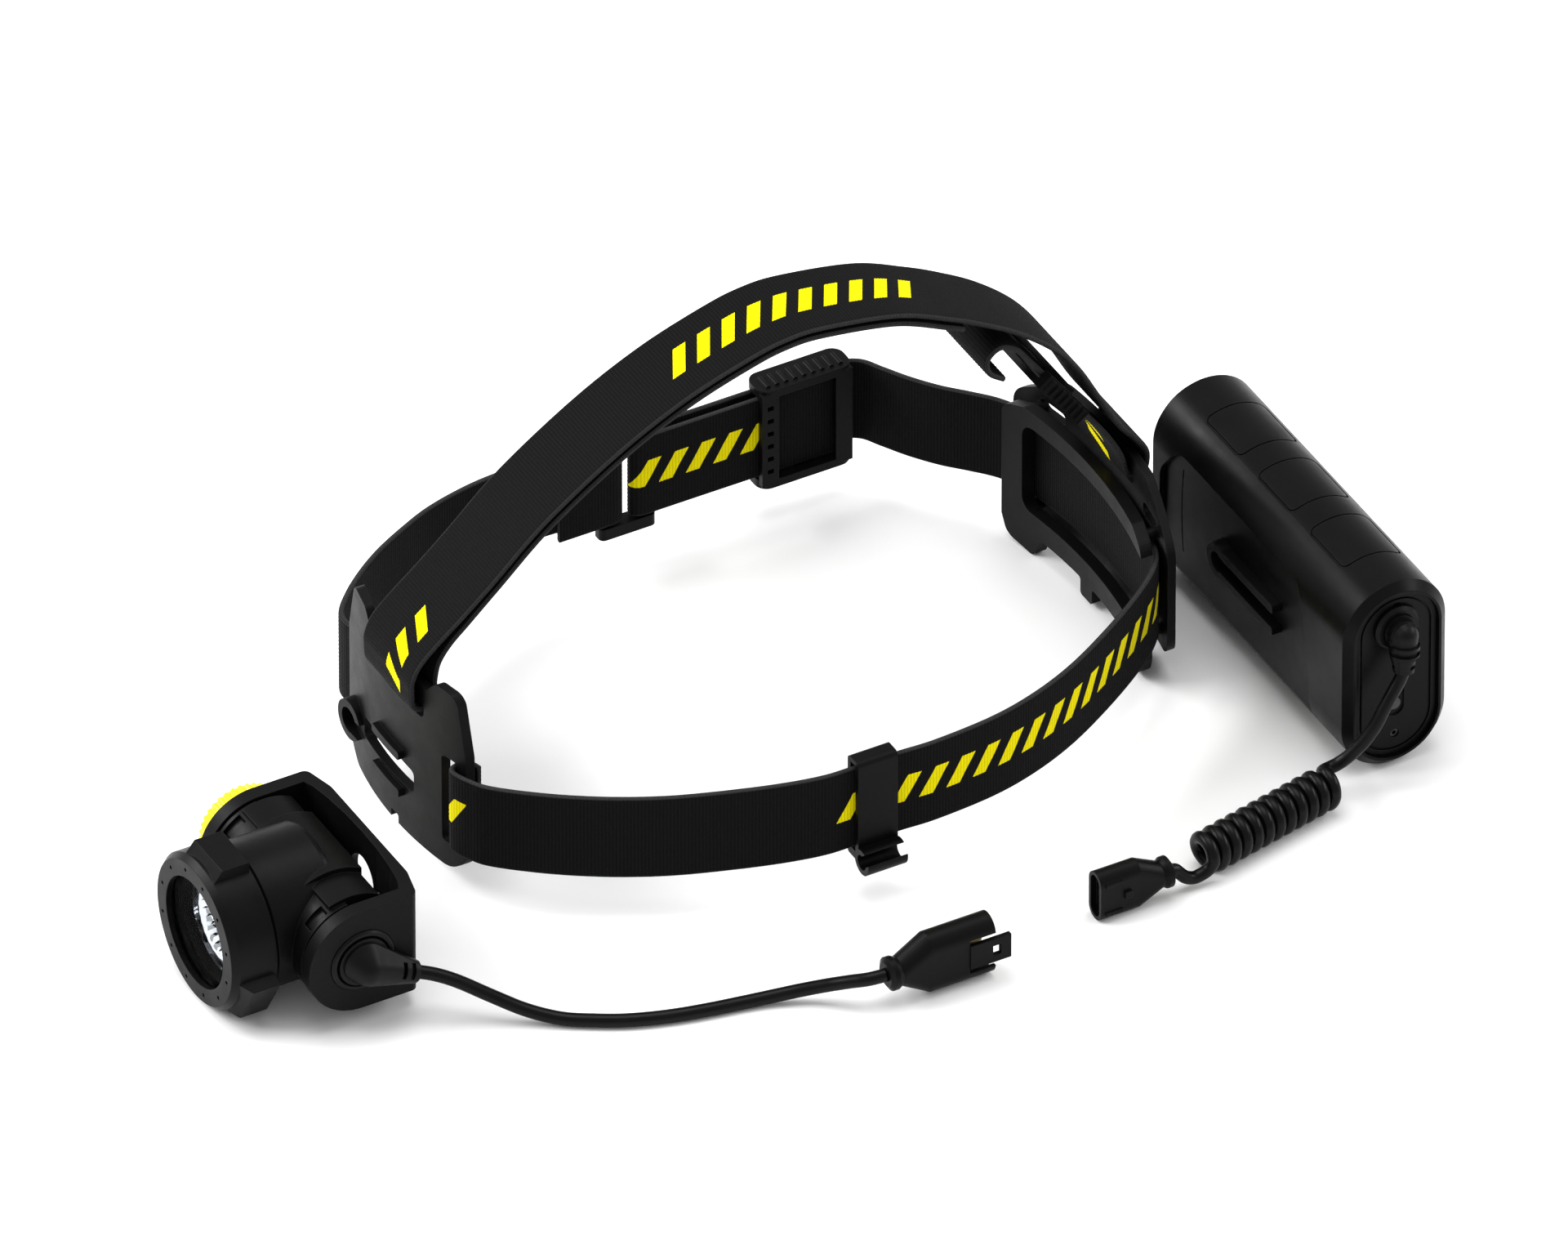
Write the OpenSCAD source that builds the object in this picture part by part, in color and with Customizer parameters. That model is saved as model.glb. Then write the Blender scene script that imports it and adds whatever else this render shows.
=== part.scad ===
// Miner's cap lamp: a headband with front and rear plates, a tilting lamp head in a clip-on bracket,
// and a battery pack with a curly cord. Sizes are millimetres.
// +Z is up, the lamp shines towards -Y, and +X is the wearer's left. The origin is on the floor,
// under the middle of the box round everything but the cords.

/* [Headband] */
// Width of the webbing
strap_w = 25; // [23:0.5:26]
// Thickness of the webbing
strap_t = 1.6; // [1.2:0.1:1.7]
// Height of the head strap's lower edge above the floor
strap_z = 14; // [13:0.5:15]
// Half width of the front plate on its far side
front_half = 34; // [33:0.5:36]
// Half width of the rear plate
rear_half = 40; // [38:0.5:41]

/* [Lamp] */
// Outside radius of the focusing bezel's barrel
bezel_r = 20.9; // [20:0.1:21]
// Radius of the bezel's front opening
window_r = 15; // [14:0.5:16.5]
// Outside radius of the housing behind the bezel
housing_r = 19.5; // [18.5:0.1:20]
// Width of the bracket over its arms
bracket_w = 58; // [58:0.5:60]
// Thickness of a bracket arm
arm_t = 4; // [3.5:0.1:4]
// Radius of the dimmer knob
knob_r = 12; // [11:0.5:13]

/* [Battery pack] */
// Length of the battery pack
pack_l = 101.6; // [101:0.2:110]
// Thickness of the battery pack
pack_t = 29.8; // [29:0.1:31]
// Height of the battery pack
pack_h = 56.8; // [56:0.1:60]
// Wall of the battery case
pack_wall = 2; // [1.6:0.1:2]

/* [Cords] */
// Diameter of the lamp's cord
lamp_cord_d = 3.6; // [3:0.1:3.8]
// Diameter of the curly cord
pack_cord_d = 3.5; // [3:0.1:3.6]
// Outer diameter of the curly part
coil_d = 11.9; // [11:0.1:12]

/* [Hidden] */
$fn = 96;
ring_at = [-10, 19, 0];          // middle of the head opening, on the floor
lamp_at = [23.5, -130.5, 19.9];  // where the lamp tilts
pack_at = [35.6, 148.3, 0];      // under the middle of the battery pack
lamp_plug_at = [109.3, -12.2, 9.1];
pack_plug_at = [104.4, 72.4, 7.2];

plate_r = 110;      // the front plate's outer curve
plate_y = -106;     // its foremost line, in the ring's frame
plate_t = 2.5;
rear_r = 150;       // the head strap's curve across the back
rear_y = 98.5;
barrel_r = 14;      // the lamp's transverse barrel
optic_z = 1;        // the lens axis above the tilt axis
slide_gap = 0.5;    // play of what slides along a strap
bar_t = 1.2;        // bars that the straps fold round
outer_x = -74.8;    // the two layers of the strap at the size buckle
inner_x = -71.2;

// Centre line of the long strap, seen from above: round the front plate's near bar, along the near side,
// across the back, through the size buckle, round the ring and back into the buckle.
head_route = [
  [28.8, -97.7], [26.8, -98.4], [25.4, -100.4], [25.3, -102.8], [26.7, -104.3], [29.2, -104],
  [32.6, -102.6], [37, -99.9], [43, -93.5], [50, -84.5], [57, -73.5],
  [63, -61.5], [68, -48], [72, -35], [74.3, -24], [74.6, -15], [74.6, -3], [75, 8], [73.6, 25],
  [70.2, 39], [64.5, 53], [56, 68], [47, 81.5], [39.5, 90.5], [33, 94.8], [24, 96.6], [12, 98],
  [0, 98.5], [-12, 98], [-24, 96.6], [-34, 94.4], [-41, 91], [-47, 86], [-53, 80.5], [-60, 75.5],
  [-67, 71.5], [-72.2, 68.5], [-74.6, 64], [outer_x, 58], [outer_x, 12], [outer_x, 5], [-74.4, 2.7],
  [-73, 1.8], [-71.6, 2.7], [inner_x, 5], [inner_x, 12], [inner_x, 47], [inner_x, 59]
];
// Centre line of the short strap from the front plate's far bar to the ring.
side_route = [
  [-42, -89.5], [-36, -91.3], [-30, -91.8], [-25.6, -92.2], [-24.2, -94.4], [-25.6, -96.6],
  [-29, -97], [-34, -96.8], [-39.5, -98.2], [-44.5, -97.2], [-50.5, -92], [-56.5, -85], [-62, -77],
  [-67, -67.5], [-71.5, -57], [-74.6, -44], [-75.6, -32], [-75.4, -22], [-74.9, -12], [-74.6, -5],
  [-74.2, -2.6], [-73, -1.6], [-71.8, -2.6], [-71.4, -5], [-71.3, -12], [-71.3, -20]
];
// Centre line of the top strap, seen from the side: y and z. It lies double from the crown to the front.
top_route = [
  [51, 110.8], [46, 113.2], [31.3, 119.7], [10.7, 123.6], [0.2, 123.8], [-10.3, 121.7],
  [-28.1, 115.8], [-46.8, 106.4], [-67.5, 92.5], [-82.9, 78.6], [-91.6, 70.6], [-96.6, 66],
  [-99.8, 61.5], [-101, 56.5], [-101.3, 51.6], [-103, 48.8], [-105.8, 48.7], [-107.3, 50.4],
  [-107.6, 54.4], [-107.5, 57.4], [-105.6, 61.8], [-100.8, 66.6], [-93.5, 72.6],
  [-84.5, 80.4], [-69, 94.4], [-48, 108.5], [-29, 118], [-11, 124], [0, 126.2], [11, 126],
  [32, 122], [47, 115.4], [57, 110], [67, 103.6], [77, 95], [84, 86], [90, 75], [96, 64],
  [100.4, 58.5], [103.8, 53.5], [104.2, 49.5], [103.2, 47], [101, 46.2], [98.8, 47], [97.8, 50],
  [96.2, 55], [92, 62.6], [86.5, 70.4], [70.5, 92.9], [66.2, 98.6], [61.6, 101], [58, 98.6],
  [58.4, 94.2], [62.6, 90.8]
];
slider_at = [78.5, 81.65];    // the slider's middle on the strap, y and z
slider_dir = [-16, 22.5];     // the strap's direction there

// The lamp's cord from its elbow to the plug.
lamp_cord_route = [
  [55.2, -117, 13], [57.6, -112.6, 12], [61, -108, 10.4], [66.2, -101.5, 7], [72, -94.6, 3.8],
  [77.5, -87.5, 2.1], [82, -80.5, 1.9], [85.6, -74, 1.9], [88.4, -67, 1.9], [90.5, -60, 1.9],
  [92.2, -52.5, 1.9], [93.6, -45, 1.9], [95.4, -37.5, 2.3], [98.2, -30.5, 3.6], [102, -24.5, 5.6],
  [105.8, -20, 7.6], [108.4, -16.6, 8.8], [109.3, -12.2, 9.1]
];
// The battery's cord from its elbow to the curly part, and from there to the plug.
pack_lead_route = [
  [91, 147.4, 33.4], [91.2, 146, 30.8], [91.5, 143.6, 27.4], [91.8, 141.2, 23.8],
  [92.1, 138.8, 19.8], [91.6, 136.2, 16], [90.4, 133.4, 12.6], [89.2, 130.4, 10], [88.2, 127.6, 8.4]
];
tail_route = [
  [104.7, 80, 2.6], [105.3, 77.9, 2.4], [105, 76, 4], [104.5, 74.8, 6],
  [104.4, 73.6, 7.2], [104.4, 72.4, 7.2]
];
coil_from = [92.4, 124.4, 6];
coil_to = [101.5, 83.4, 6];

black = "#1b1b1d";
webbing = "#141416";
yellow = "#f2e600";
steel = "#a8abb0";

// --- Curves -------------------------------------------------------------------------------------
// A point between b and c on the smooth curve through a, b, c and d.
function between(a, b, c, d, t) =
  0.5 * (2 * b + (c - a) * t + (2 * a - 5 * b + 4 * c - d) * t * t + (3 * b - a - 3 * c + d) * t * t * t);
function smooth(p, n) = [
  for (i = [0:len(p) - 2], k = [0:n - 1])
    between(p[max(i - 1, 0)], p[i], p[i + 1], p[min(i + 2, len(p) - 1)], k / n),
  p[len(p) - 1]
];
function unit(v) = v / norm(v);
function tangent(p, i) = unit(p[min(i + 1, len(p) - 1)] - p[max(i - 1, 0)]);
// One edge of a band along a flat route, d to the side of it.
function beside(p, d) = [for (i = [0:len(p) - 1]) let (t = tangent(p, i)) p[i] + d * [-t[1], t[0]]];
function reversed(p) = [for (i = [len(p) - 1:-1:0]) p[i]];
function ribbon(p, t) = concat(beside(p, t / 2), reversed(beside(p, -t / 2)));
// An outline whose corners [x, y, r] are rounded to radius r.
function rounded(p, n = 6) = [
  for (i = [0:len(p) - 1])
    let (
      a = p[(i + len(p) - 1) % len(p)], b = p[i], c = p[(i + 1) % len(p)],
      o = [b[0], b[1]], u = unit([a[0], a[1]] - o), v = unit([c[0], c[1]] - o),
      half = acos(max(-1, min(1, u * v))) / 2, reach = b[2] / tan(half),
      m = o + unit(u + v) * b[2] / sin(half), from = o + u * reach - m, to = o + v * reach - m,
      a0 = atan2(from[1], from[0]), turn = atan2(from[0] * to[1] - from[1] * to[0], from * to)
    )
    for (k = [0:n]) m + b[2] * [cos(a0 + turn * k / n), sin(a0 + turn * k / n)]
];
function box_outline(x0, z0, x1, z1, r) = rounded([[x0, z0, r], [x1, z0, r], [x1, z1, r], [x0, z1, r]]);

// --- Shared shapes ------------------------------------------------------------------------------
// Cylinder along Y or X between two places.
module ycyl(r, y0, y1) translate([0, y0, 0]) rotate([-90, 0, 0]) cylinder(r = r, h = y1 - y0);
module xcyl(r, x0, x1) translate([x0, 0, 0]) rotate([0, 90, 0]) cylinder(r = r, h = x1 - x0);
// Turned shape about Y from points [radius, y].
module yturn(p) rotate([-90, 0, 0]) mirror([0, 1, 0]) rotate_extrude() polygon(p);
// Outline in x and z, pushed from y0 to y1.
module yplate(p, y0, y1) translate([0, y1, 0]) rotate([90, 0, 0]) linear_extrude(y1 - y0) polygon(p);
// Outline in y and z, pushed from x0 to x1.
module xplate(p, x0, x1) translate([x0, 0, 0]) rotate([90, 0, 90]) linear_extrude(x1 - x0) polygon(p);
module block(a, b) translate(a) cube(b - a);
// Curved sheet about Z between two radii whose outer face touches y.
module curved(r0, r1, y, s) translate([0, y - s * r1, 0]) difference() {
  translate([0, 0, -5]) cylinder(r = r1, h = 90, $fn = 360);
  translate([0, 0, -6]) cylinder(r = r0, h = 92, $fn = 360);
}
// Stadium bar along X: thickness 2r, from z0 to z1.
module stadium(r, z0, z1, x0, x1) {
  translate([0, 0, z0 + r]) xcyl(r, x0, x1);
  translate([0, 0, z1 - r]) xcyl(r, x0, x1);
  block([x0, -r, z0 + r], [x1, r, z1 - r]);
}
// Round tube along a route, one ring of s points at each route point.
module tube(route, d, ref, s = 8) {
  function ring(i) =
    let (t = tangent(route, i), a = unit(cross(ref, t)), b = cross(t, a))
    [for (k = [0:s - 1]) route[i] + d / 2 * (cos(360 * k / s) * a + sin(360 * k / s) * b)];
  n = len(route);
  pts = [for (i = [0:n - 1]) each ring(i)];
  sides = [for (i = [0:n - 2], k = [0:s - 1])
    [i * s + k, i * s + (k + 1) % s, (i + 1) * s + (k + 1) % s, (i + 1) * s + k]];
  ends = [[for (k = [s - 1:-1:0]) k], [for (k = [0:s - 1]) (n - 1) * s + k]];
  polyhedron(pts, [for (f = concat(sides, ends)) reversed(f)], convexity = 8);
}
// Turn +Z to direction v.
module aim(v) rotate([0, acos(v[2] / norm(v)), atan2(v[1], v[0])]) children();

// --- Headband -----------------------------------------------------------------------------------
module head_strap() {
  color(webbing) translate(ring_at + [0, 0, strap_z])
    linear_extrude(strap_w) polygon(ribbon(smooth(head_route, 3), strap_t));
}

module side_strap() {
  color(webbing) translate(ring_at + [0, 0, strap_z])
    linear_extrude(strap_w) polygon(ribbon(smooth(side_route, 3), strap_t));
}

module top_strap() {
  color(webbing) translate(ring_at)
    xplate(ribbon(smooth(top_route, 3), strap_t), -strap_w / 2, strap_w / 2);
}

// Outline of the front plate: two lobes with the top strap's bar between them, rounded lower corners.
function front_outline() =
  let (h = front_half, near = h - 4.4) rounded([
    [-h, 10, 5], [-25, 5.5, 8], [24, 5.5, 8], [near, 10, 5], [near, 43, 6], [26.5, 60.5, 3.5],
    [18.5, 60.5, 3], [14.6, 56.2, 1], [-14.6, 56.2, 1], [-18.5, 60.5, 3], [-27.5, 60.5, 3.5],
    [-h, 43, 6]
  ]);

module front_plate() {
  hook_at = [-25.4, 0, 20];
  color(black) translate(ring_at) {
    intersection() {
      curved(plate_r - plate_t, plate_r, plate_y, -1);
      difference() {
        yplate(front_outline(), -112, -80);
        // slots for the near strap and the top strap
        yplate(box_outline(20.8, strap_z - 1, 26.6, strap_z + strap_w + 1, 1.4), -113, -79);
        yplate(box_outline(-13.6, 46.4, 13.6, 50.6, 1.6), -113, -79);
        // long opening between the rails
        yplate(rounded([[-19.5, 18.8, 1.5], [9, 20, 1.5], [9, 26.5, 1.5], [-4, 27.4, 4], [-19.5, 25, 2]]),
          -113, -79);
        // small notches in the lower edge
        yplate(box_outline(-2.4, 3, 1.4, 8, 0.6), -113, -79);
      }
    }
    // two rails along the opening
    for (z = [28, 16.2])
      intersection() {
        curved(plate_r - 1, plate_r + 1.8, plate_y - 1.8, -1);
        yplate(box_outline(-10, z, 4.6, z + 2.4, 0.6), -112, -80);
      }
    // C-shaped hook beside the opening
    translate(hook_at) difference() {
      ycyl(5.7, -105.6, -101.2);
      ycyl(3.6, -106, -101);
      block([0, -107, -3.4], [9, -100, 1.6]);
    }
    // bar on the back for the short strap, between two lugs
    translate([-27.4, -94.4, strap_z - 2]) cylinder(r = 1.2, h = strap_w + 4, $fn = 32);
    for (z = [strap_z - 3.2, strap_z + strap_w + 1])
      block([-29, -99.9, z], [-25.8, -93, z + 2.2]);
  }
}

module rear_plate() {
  h = rear_half;
  color(black) translate(ring_at) {
    intersection() {
      curved(rear_r + 1.4, rear_r + 3.7, rear_y + 3.7, 1);
      difference() {
        yplate(rounded([[-h, 9, 5], [-14, 7, 4], [14, 7, 4], [h, 9, 5], [h, 42, 7], [22, 53, 6],
          [-22, 53, 6], [-h, 42, 7]]), 80, 110);
        yplate(box_outline(-13.8, 44.5, 13.8, 48.4, 1.6), 79, 111);
        // waist windows on both sides
        for (s = [-1, 1]) yplate(box_outline(s * 25 - 5, 41, s * 25 + 5, 44.6, 1.5), 79, 111);
      }
    }
    // posts that join the plate to its frame, above and below the strap
    for (x = [-30, 30], z = [strap_z - 4.6, strap_z + strap_w + 1.2])
      translate([x, 0, z + 1.6]) ycyl(1.6, 92.5, rear_y);
  }
}

module rear_frame() {
  color("#242426") translate(ring_at) intersection() {
    curved(rear_r - 5, rear_r - 1.6, rear_y - 1.6, 1);
    difference() {
      yplate(rounded([[-36, 7, 2], [-34, 1.5, 4], [-24, 0, 2], [-21, 6.5, 1.5], [-3, 6.5, 1], [-3, 1.4, 1],
        [3, 1.4, 1], [3, 6.5, 1], [21, 6.5, 1.5], [24, 0, 2], [34, 1.5, 4], [36, 7, 2], [36, 42, 4],
        [28, 45, 3], [-28, 45, 3], [-36, 42, 4]]), 80, 110);
      // window, open on the near side where the strap comes in
      yplate(box_outline(-28.5, 13, 42, 40, 4), 79, 111);
      // blind seats of the posts
      for (x = [-30, 30], z = [strap_z - 3, strap_z + strap_w + 2.8])
        translate([x, 0, z]) ycyl(1.65, 92.4, 110);
    }
  }
}

module strap_ring() {
  x = (outer_x + inner_x) / 2;
  color(black) translate(ring_at) {
    for (y = [-6.4, 3.8])
      translate([x - bar_t / 2, y, strap_z - 3]) cube([bar_t, 2.6, strap_w + 6]);
    for (z = [strap_z - 4.2, strap_z + strap_w + 0.8])
      translate([x, 0, z]) linear_extrude(3.4)
        polygon(box_outline(-2.2, -8, 2.2, 8.2, 1.6));
  }
}

// Three-bar buckle that slides along two straight layers of strap.
module size_buckle() {
  y0 = 37;
  y1 = 64;
  ribs = 9;
  color(black) translate(ring_at) {
    difference() {
      union() {
        for (z = [strap_z - 3, strap_z + strap_w + 0.6])
          translate([0, 0, z]) linear_extrude(2.4) polygon(box_outline(-77.2, y0, -68.2, y1, 3.4));
        // ribbed grip along both rails
        for (z = [strap_z - 3, strap_z + strap_w + 3], i = [0:ribs - 1])
          translate([-74.6, y0 + 3 + i * (y1 - y0 - 6) / (ribs - 1), z])
            rotate([0, 90, 0]) cylinder(r = 0.7, h = 4.8, $fn = 24);
        // end bars on the inner side of the strap
        for (y = [y0 + 0.4, y1 - 5.2])
          block([-70, y, strap_z - 2], [-68.2, y + 4.8, strap_z + strap_w + 2]);
        // middle bar between the layers
        block([outer_x + strap_t / 2 + 0.25, 50, strap_z - 2],
          [inner_x - strap_t / 2 - 0.25, 54, strap_z + strap_w + 2]);
      }
      // row of small holes in the front bar
      for (i = [0:5]) translate([-72, y0 + 2.8, strap_z + 2.5 + 4 * i])
        translate([0, -0.9, -0.7]) cube([6, 1.8, 1.4]);
    }
  }
}

// Slider of the top strap, drawn flat and turned to the strap's slope.
module top_slider() {
  rail = strap_w / 2 + 0.6;
  color(black) translate(ring_at + [0, slider_at[0], slider_at[1]])
    rotate([atan2(slider_dir[1], slider_dir[0]), 0, 0]) {
      for (s = [-1, 1]) {
        block([s > 0 ? rail : -rail - 3, -9.5, -1.6], [s > 0 ? rail + 3 : -rail, 9.5, 3.2]);
        for (i = [0:6]) translate([s > 0 ? rail + 3 : -rail - 3, -7.5 + 2.5 * i, 0.8])
          translate([0, 0, -1.8]) cylinder(r = 0.8, h = 3.6, $fn = 24);
      }
      for (y = [-9.5, 5.7]) block([-rail - 1, y, 1.4], [rail + 1, y + 3.8, 3.2]);
      block([-rail - 1, -2, -2.7], [rail + 1, 2, -1.2]);
    }
}

clip_y = -10;
hook_r = 2.1;
clip_hook_at = [79.1, 0, 11.6];
module cable_clip() {
  in = strap_t / 2 + slide_gap;
  x = 74.6;
  wall = 1.5;
  color(black) translate(ring_at) difference() {
    union() {
      // saddle over the strap's upper edge, closed below it
      yplate(rounded([[x - in - wall, strap_z - 3.4, 1], [x + in + wall, strap_z - 3.4, 0.6],
        [x + in + wall, strap_z + strap_w + 2.4, 1.4], [x - in - wall, strap_z + strap_w + 2.4, 1.4]]),
        clip_y - 5.7, clip_y + 5.7);
      translate(clip_hook_at) ycyl(hook_r + wall, clip_y - 5.7, clip_y + 5.7);
    }
    yplate([[x - in, strap_z - 1], [x + in, strap_z - 1], [x + in, strap_z + strap_w + 1],
      [x - in, strap_z + strap_w + 1]], clip_y - 6, clip_y + 6);
    // cord's seat and its mouth, which opens outwards and up
    translate(clip_hook_at) ycyl(hook_r, clip_y - 6, clip_y + 6);
    translate(clip_hook_at) rotate([0, -40, 0]) block([0, clip_y - 6, -1.5], [6, clip_y + 6, 1.5]);
    // gap between the saddle's two lips on the inner side
    block([x - in - wall - 1, clip_y - 6, strap_z + 3], [x - in + 0.1, clip_y + 6, strap_z + 8]);
  }
}

// --- Lamp bracket and what rides on it ----------------------------------------------------------
bracket_z = [-15.1, 15.1];
back_y = 17.8;
module lamp_bracket() {
  w = bracket_w / 2;
  in = w - arm_t;
  inner = [[25, 12.8], [22, 13.9], [16, 14.9], [8, 15.6], [0, 15.8]];
  color(black) translate(lamp_at) difference() {
    intersection() {
      translate([0, 0, bracket_z[0]]) linear_extrude(bracket_z[1] - bracket_z[0])
        polygon(rounded([[-w, -16, 1], [w, -16, 1], [w, 15.6, 2], [20, back_y, 6], [-20, back_y, 6],
          [-w, 15.6, 2]]));
      union() {
        xcyl(bracket_z[1], -w, w);
        block([-w, 0, bracket_z[0]], [w, back_y, bracket_z[1]]);
      }
    }
    // room for the head
    translate([0, 0, bracket_z[0] - 1]) linear_extrude(bracket_z[1] - bracket_z[0] + 2) polygon(concat(
      [[-in, -20]], [for (p = inner) [-p[0] * in / 25, p[1]]],
      [for (p = reversed(inner)) [p[0] * in / 25, p[1]]], [[in, -20]]));
    // bearings of the two pivots, and the gland's recess
    xcyl(6.08, -w - 1, w + 1);
    xcyl(9, w - 1.2, w + 1);
    // keyhole for a headed stud
    translate([0, 0, 1]) ycyl(6, 10, 20);
    yplate(box_outline(-4, -10, 4, 0, 1), 10, 20);
    for (s = [-1, 1]) translate([s * 15, 0, 1]) ycyl(1.2, 10, 20);
  }
}

module gland_ring() {
  w = bracket_w / 2;
  color("#101012") translate(lamp_at) rotate([0, 90, 0]) translate([0, 0, w - 1.2])
    rotate_extrude() polygon([[7.2, 0], [8.9, 0], [8.9, 1.4], [8.4, 1.9], [7.6, 1.9], [7.2, 1.5]]);
}

module bracket_screws() {
  color(steel) translate(lamp_at) for (s = [-1, 1]) translate([s * 15, 0, 1]) difference() {
    ycyl(1.15, 15.2, 17.6);
    ycyl(0.6, 14, 16);
  }
}

// --- Lamp head ----------------------------------------------------------------------------------
module head_housing() {
  shoulder = 24.2;
  color(black) translate(lamp_at) difference() {
    union() {
      // front barrel with its neck for the bezel
      translate([0, 0, optic_z]) yturn([[0, -27], [17.3, -27], [17.3, -19.3], [housing_r - 1, -19.3],
        [housing_r, -18.3], [housing_r, -7], [14.5, -1], [0, -1]]);
      // transverse barrel, its shoulders and the pivot tubes
      xcyl(barrel_r, -19.5, 19.5);
      xcyl(12.6, -shoulder, shoulder);
      xcyl(6, -28.6, 27.5);
      intersection() {
        xcyl(14.8, -shoulder, shoulder);
        block([-30, -20, -20], [30, -1.5, 20]);
      }
      // upper half of the front barrel, which runs on to the back
      intersection() {
        translate([0, 0, optic_z]) yturn([[0, -8], [housing_r, -8], [housing_r, -0.4],
          [housing_r - 0.5, 0.8], [housing_r - 2, 1.7], [0, 1.7]]);
        block([-21, -9, 2], [21, 3, 22]);
      }
      // saddle behind it
      intersection() {
        xcyl(17.4, -13, 13);
        block([-13, -8, 4], [13, 8.6, 20]);
      }
      // raised bands on both shoulders
      intersection() {
        xcyl(15.9, -22.8, 22.8);
        block([-23, -6, 6], [23, 8, 17]);
      }
    }
    // bore for the lens, seat of the heat sink, room for the electronics
    translate([0, 0, optic_z]) ycyl(15.6, -28, -6.2);
    translate([0, 0, optic_z]) ycyl(13.2, -7, 0.2);
    xcyl(12, -22.2, 22.2);
    // groove of the bezel's seal
    translate([0, 0, optic_z]) difference() {
      ycyl(18, -24.6, -23.2);
      ycyl(16.6, -25, -23);
    }
    // shallow recesses in front of the bands
    for (s = [-1, 1]) intersection() {
      block([s * 21.4 - 1.7, -11.4, 4], [s * 21.4 + 1.7, -6.6, 17]);
      difference() {
        xcyl(17, -30, 30);
        xcyl(13.8, -31, 31);
      }
    }
    // bores of the knob's shaft and the cord's entry
    xcyl(3.5, -30, 0);
    xcyl(3, 0, 30);
    // opening of the rear cover
    block([-17.1, 5, -9.1], [17.1, 16, 9.1]);
  }
}

module head_rear_cover() {
  color(black) translate(lamp_at) difference() {
    intersection() {
      difference() {
        xcyl(barrel_r, -17, 17);
        xcyl(12, -18, 18);
      }
      block([-17, 8, -9], [17, 16, 9]);
    }
    for (x = [-15, 15], z = [-6.5, 6.5]) translate([x, 0, z]) ycyl(0.85, 8, 16);
  }
}

module cover_screws() {
  color(steel) translate(lamp_at) for (x = [-15, 15], z = [-6.5, 6.5]) translate([x, 0, z]) difference() {
    ycyl(0.8, 10.4, 12.4);
    ycyl(0.4, 12, 13);
  }
}

module friction_washers() {
  color(steel) translate(lamp_at) for (x = [-24.8, 24.4]) translate([x, 0, 0]) rotate([0, 90, 0])
    difference() {
      cylinder(r = 10, h = 0.4);
      translate([0, 0, -1]) cylinder(r = 6.3, h = 3);
    }
}

module heat_sink() {
  color("#b9bcc2") translate(lamp_at + [0, 0, optic_z]) difference() {
    ycyl(13.1, -5.5, 0.1);
    for (y = [-4, -2.4]) translate([0, y, 0]) difference() {
      ycyl(14, 0, 0.8);
      ycyl(9, -1, 2);
    }
    ycyl(1.5, -6, 1);
  }
}

module led_board() {
  color("#e8e8e0") translate(lamp_at + [0, 0, optic_z]) difference() {
    ycyl(13, -7.1, -5.6);
    for (a = [45, 225]) rotate([0, a, 0]) translate([10, 0, 0]) ycyl(1.3, -8, -5);
  }
}

module led_emitter() {
  color("#e6c84a") translate(lamp_at + [0, 0, optic_z]) {
    block([-2.5, -8, -2.5], [2.5, -7.1, 2.5]);
    translate([0, -8, 0]) intersection() {
      sphere(r = 1.8, $fn = 32);
      block([-2, -2, -2], [2, 0, 2]);
    }
  }
}

module driver_board() {
  color("#1f5c34") translate(lamp_at) {
    block([-16, 6, -7.5], [16, 7.2, 7.5]);
    block([-9, 4.6, -3], [-3, 6, 3]);
    block([2, 4.8, -4], [6, 6, 1]);
    block([8, 5, -2], [11, 6, 4]);
  }
}

module dimmer_encoder() {
  color("#3c4046") translate(lamp_at) difference() {
    xcyl(5.6, -21.8, -15);
    xcyl(3.5, -23, -17);
  }
}

module housing_seal() {
  color("#202020") translate(lamp_at + [0, 0, optic_z])
    yturn([[16.7, -24.5], [17.5, -24.5], [17.75, -23.9], [17.5, -23.3], [16.7, -23.3]]);
}

// --- Focusing bezel -----------------------------------------------------------------------------
bezel_front = -32.1;
bezel_back = -19.7;
dimple_r = 17.4;
module focus_bezel() {
  rib_top = 22.8;
  rib_half = 7.4;
  color(black) translate(lamp_at + [0, 0, optic_z]) difference() {
    union() {
      yturn([[0, bezel_front], [19.6, bezel_front], [bezel_r, bezel_front + 1.7], [bezel_r, bezel_back],
        [0, bezel_back]]);
      // three flat grip ribs
      for (a = [0, 120, 240]) rotate([0, a, 0])
        xplate([[bezel_front + 1.2, 18.2], [bezel_back - 0.6, 18.2], [bezel_back - 0.6, rib_top],
          [bezel_front + 4.2, rib_top], [bezel_front + 1.2, 19]], -rib_half, rib_half);
    }
    // window opening, window seat and threaded bore
    ycyl(window_r, bezel_front - 1, 0);
    ycyl(17.5, bezel_front + 1.5, 0);
    ycyl(17.9, -27.3, 0);
    for (a = [15:30:345]) rotate([0, a, 0]) translate([dimple_r, 0, 0])
      ycyl(0.55, bezel_front - 1, bezel_front + 0.5);
  }
}

module front_window() {
  color("#dfe8ee80") translate(lamp_at + [0, 0, optic_z]) ycyl(17.4, bezel_front + 1.6, -28.8);
}

module window_seal() {
  color("#202020") translate(lamp_at + [0, 0, optic_z])
    yturn([[16.3, -28.7], [17.4, -28.7], [17.4, -27.6], [16.3, -27.6]]);
}

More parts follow.
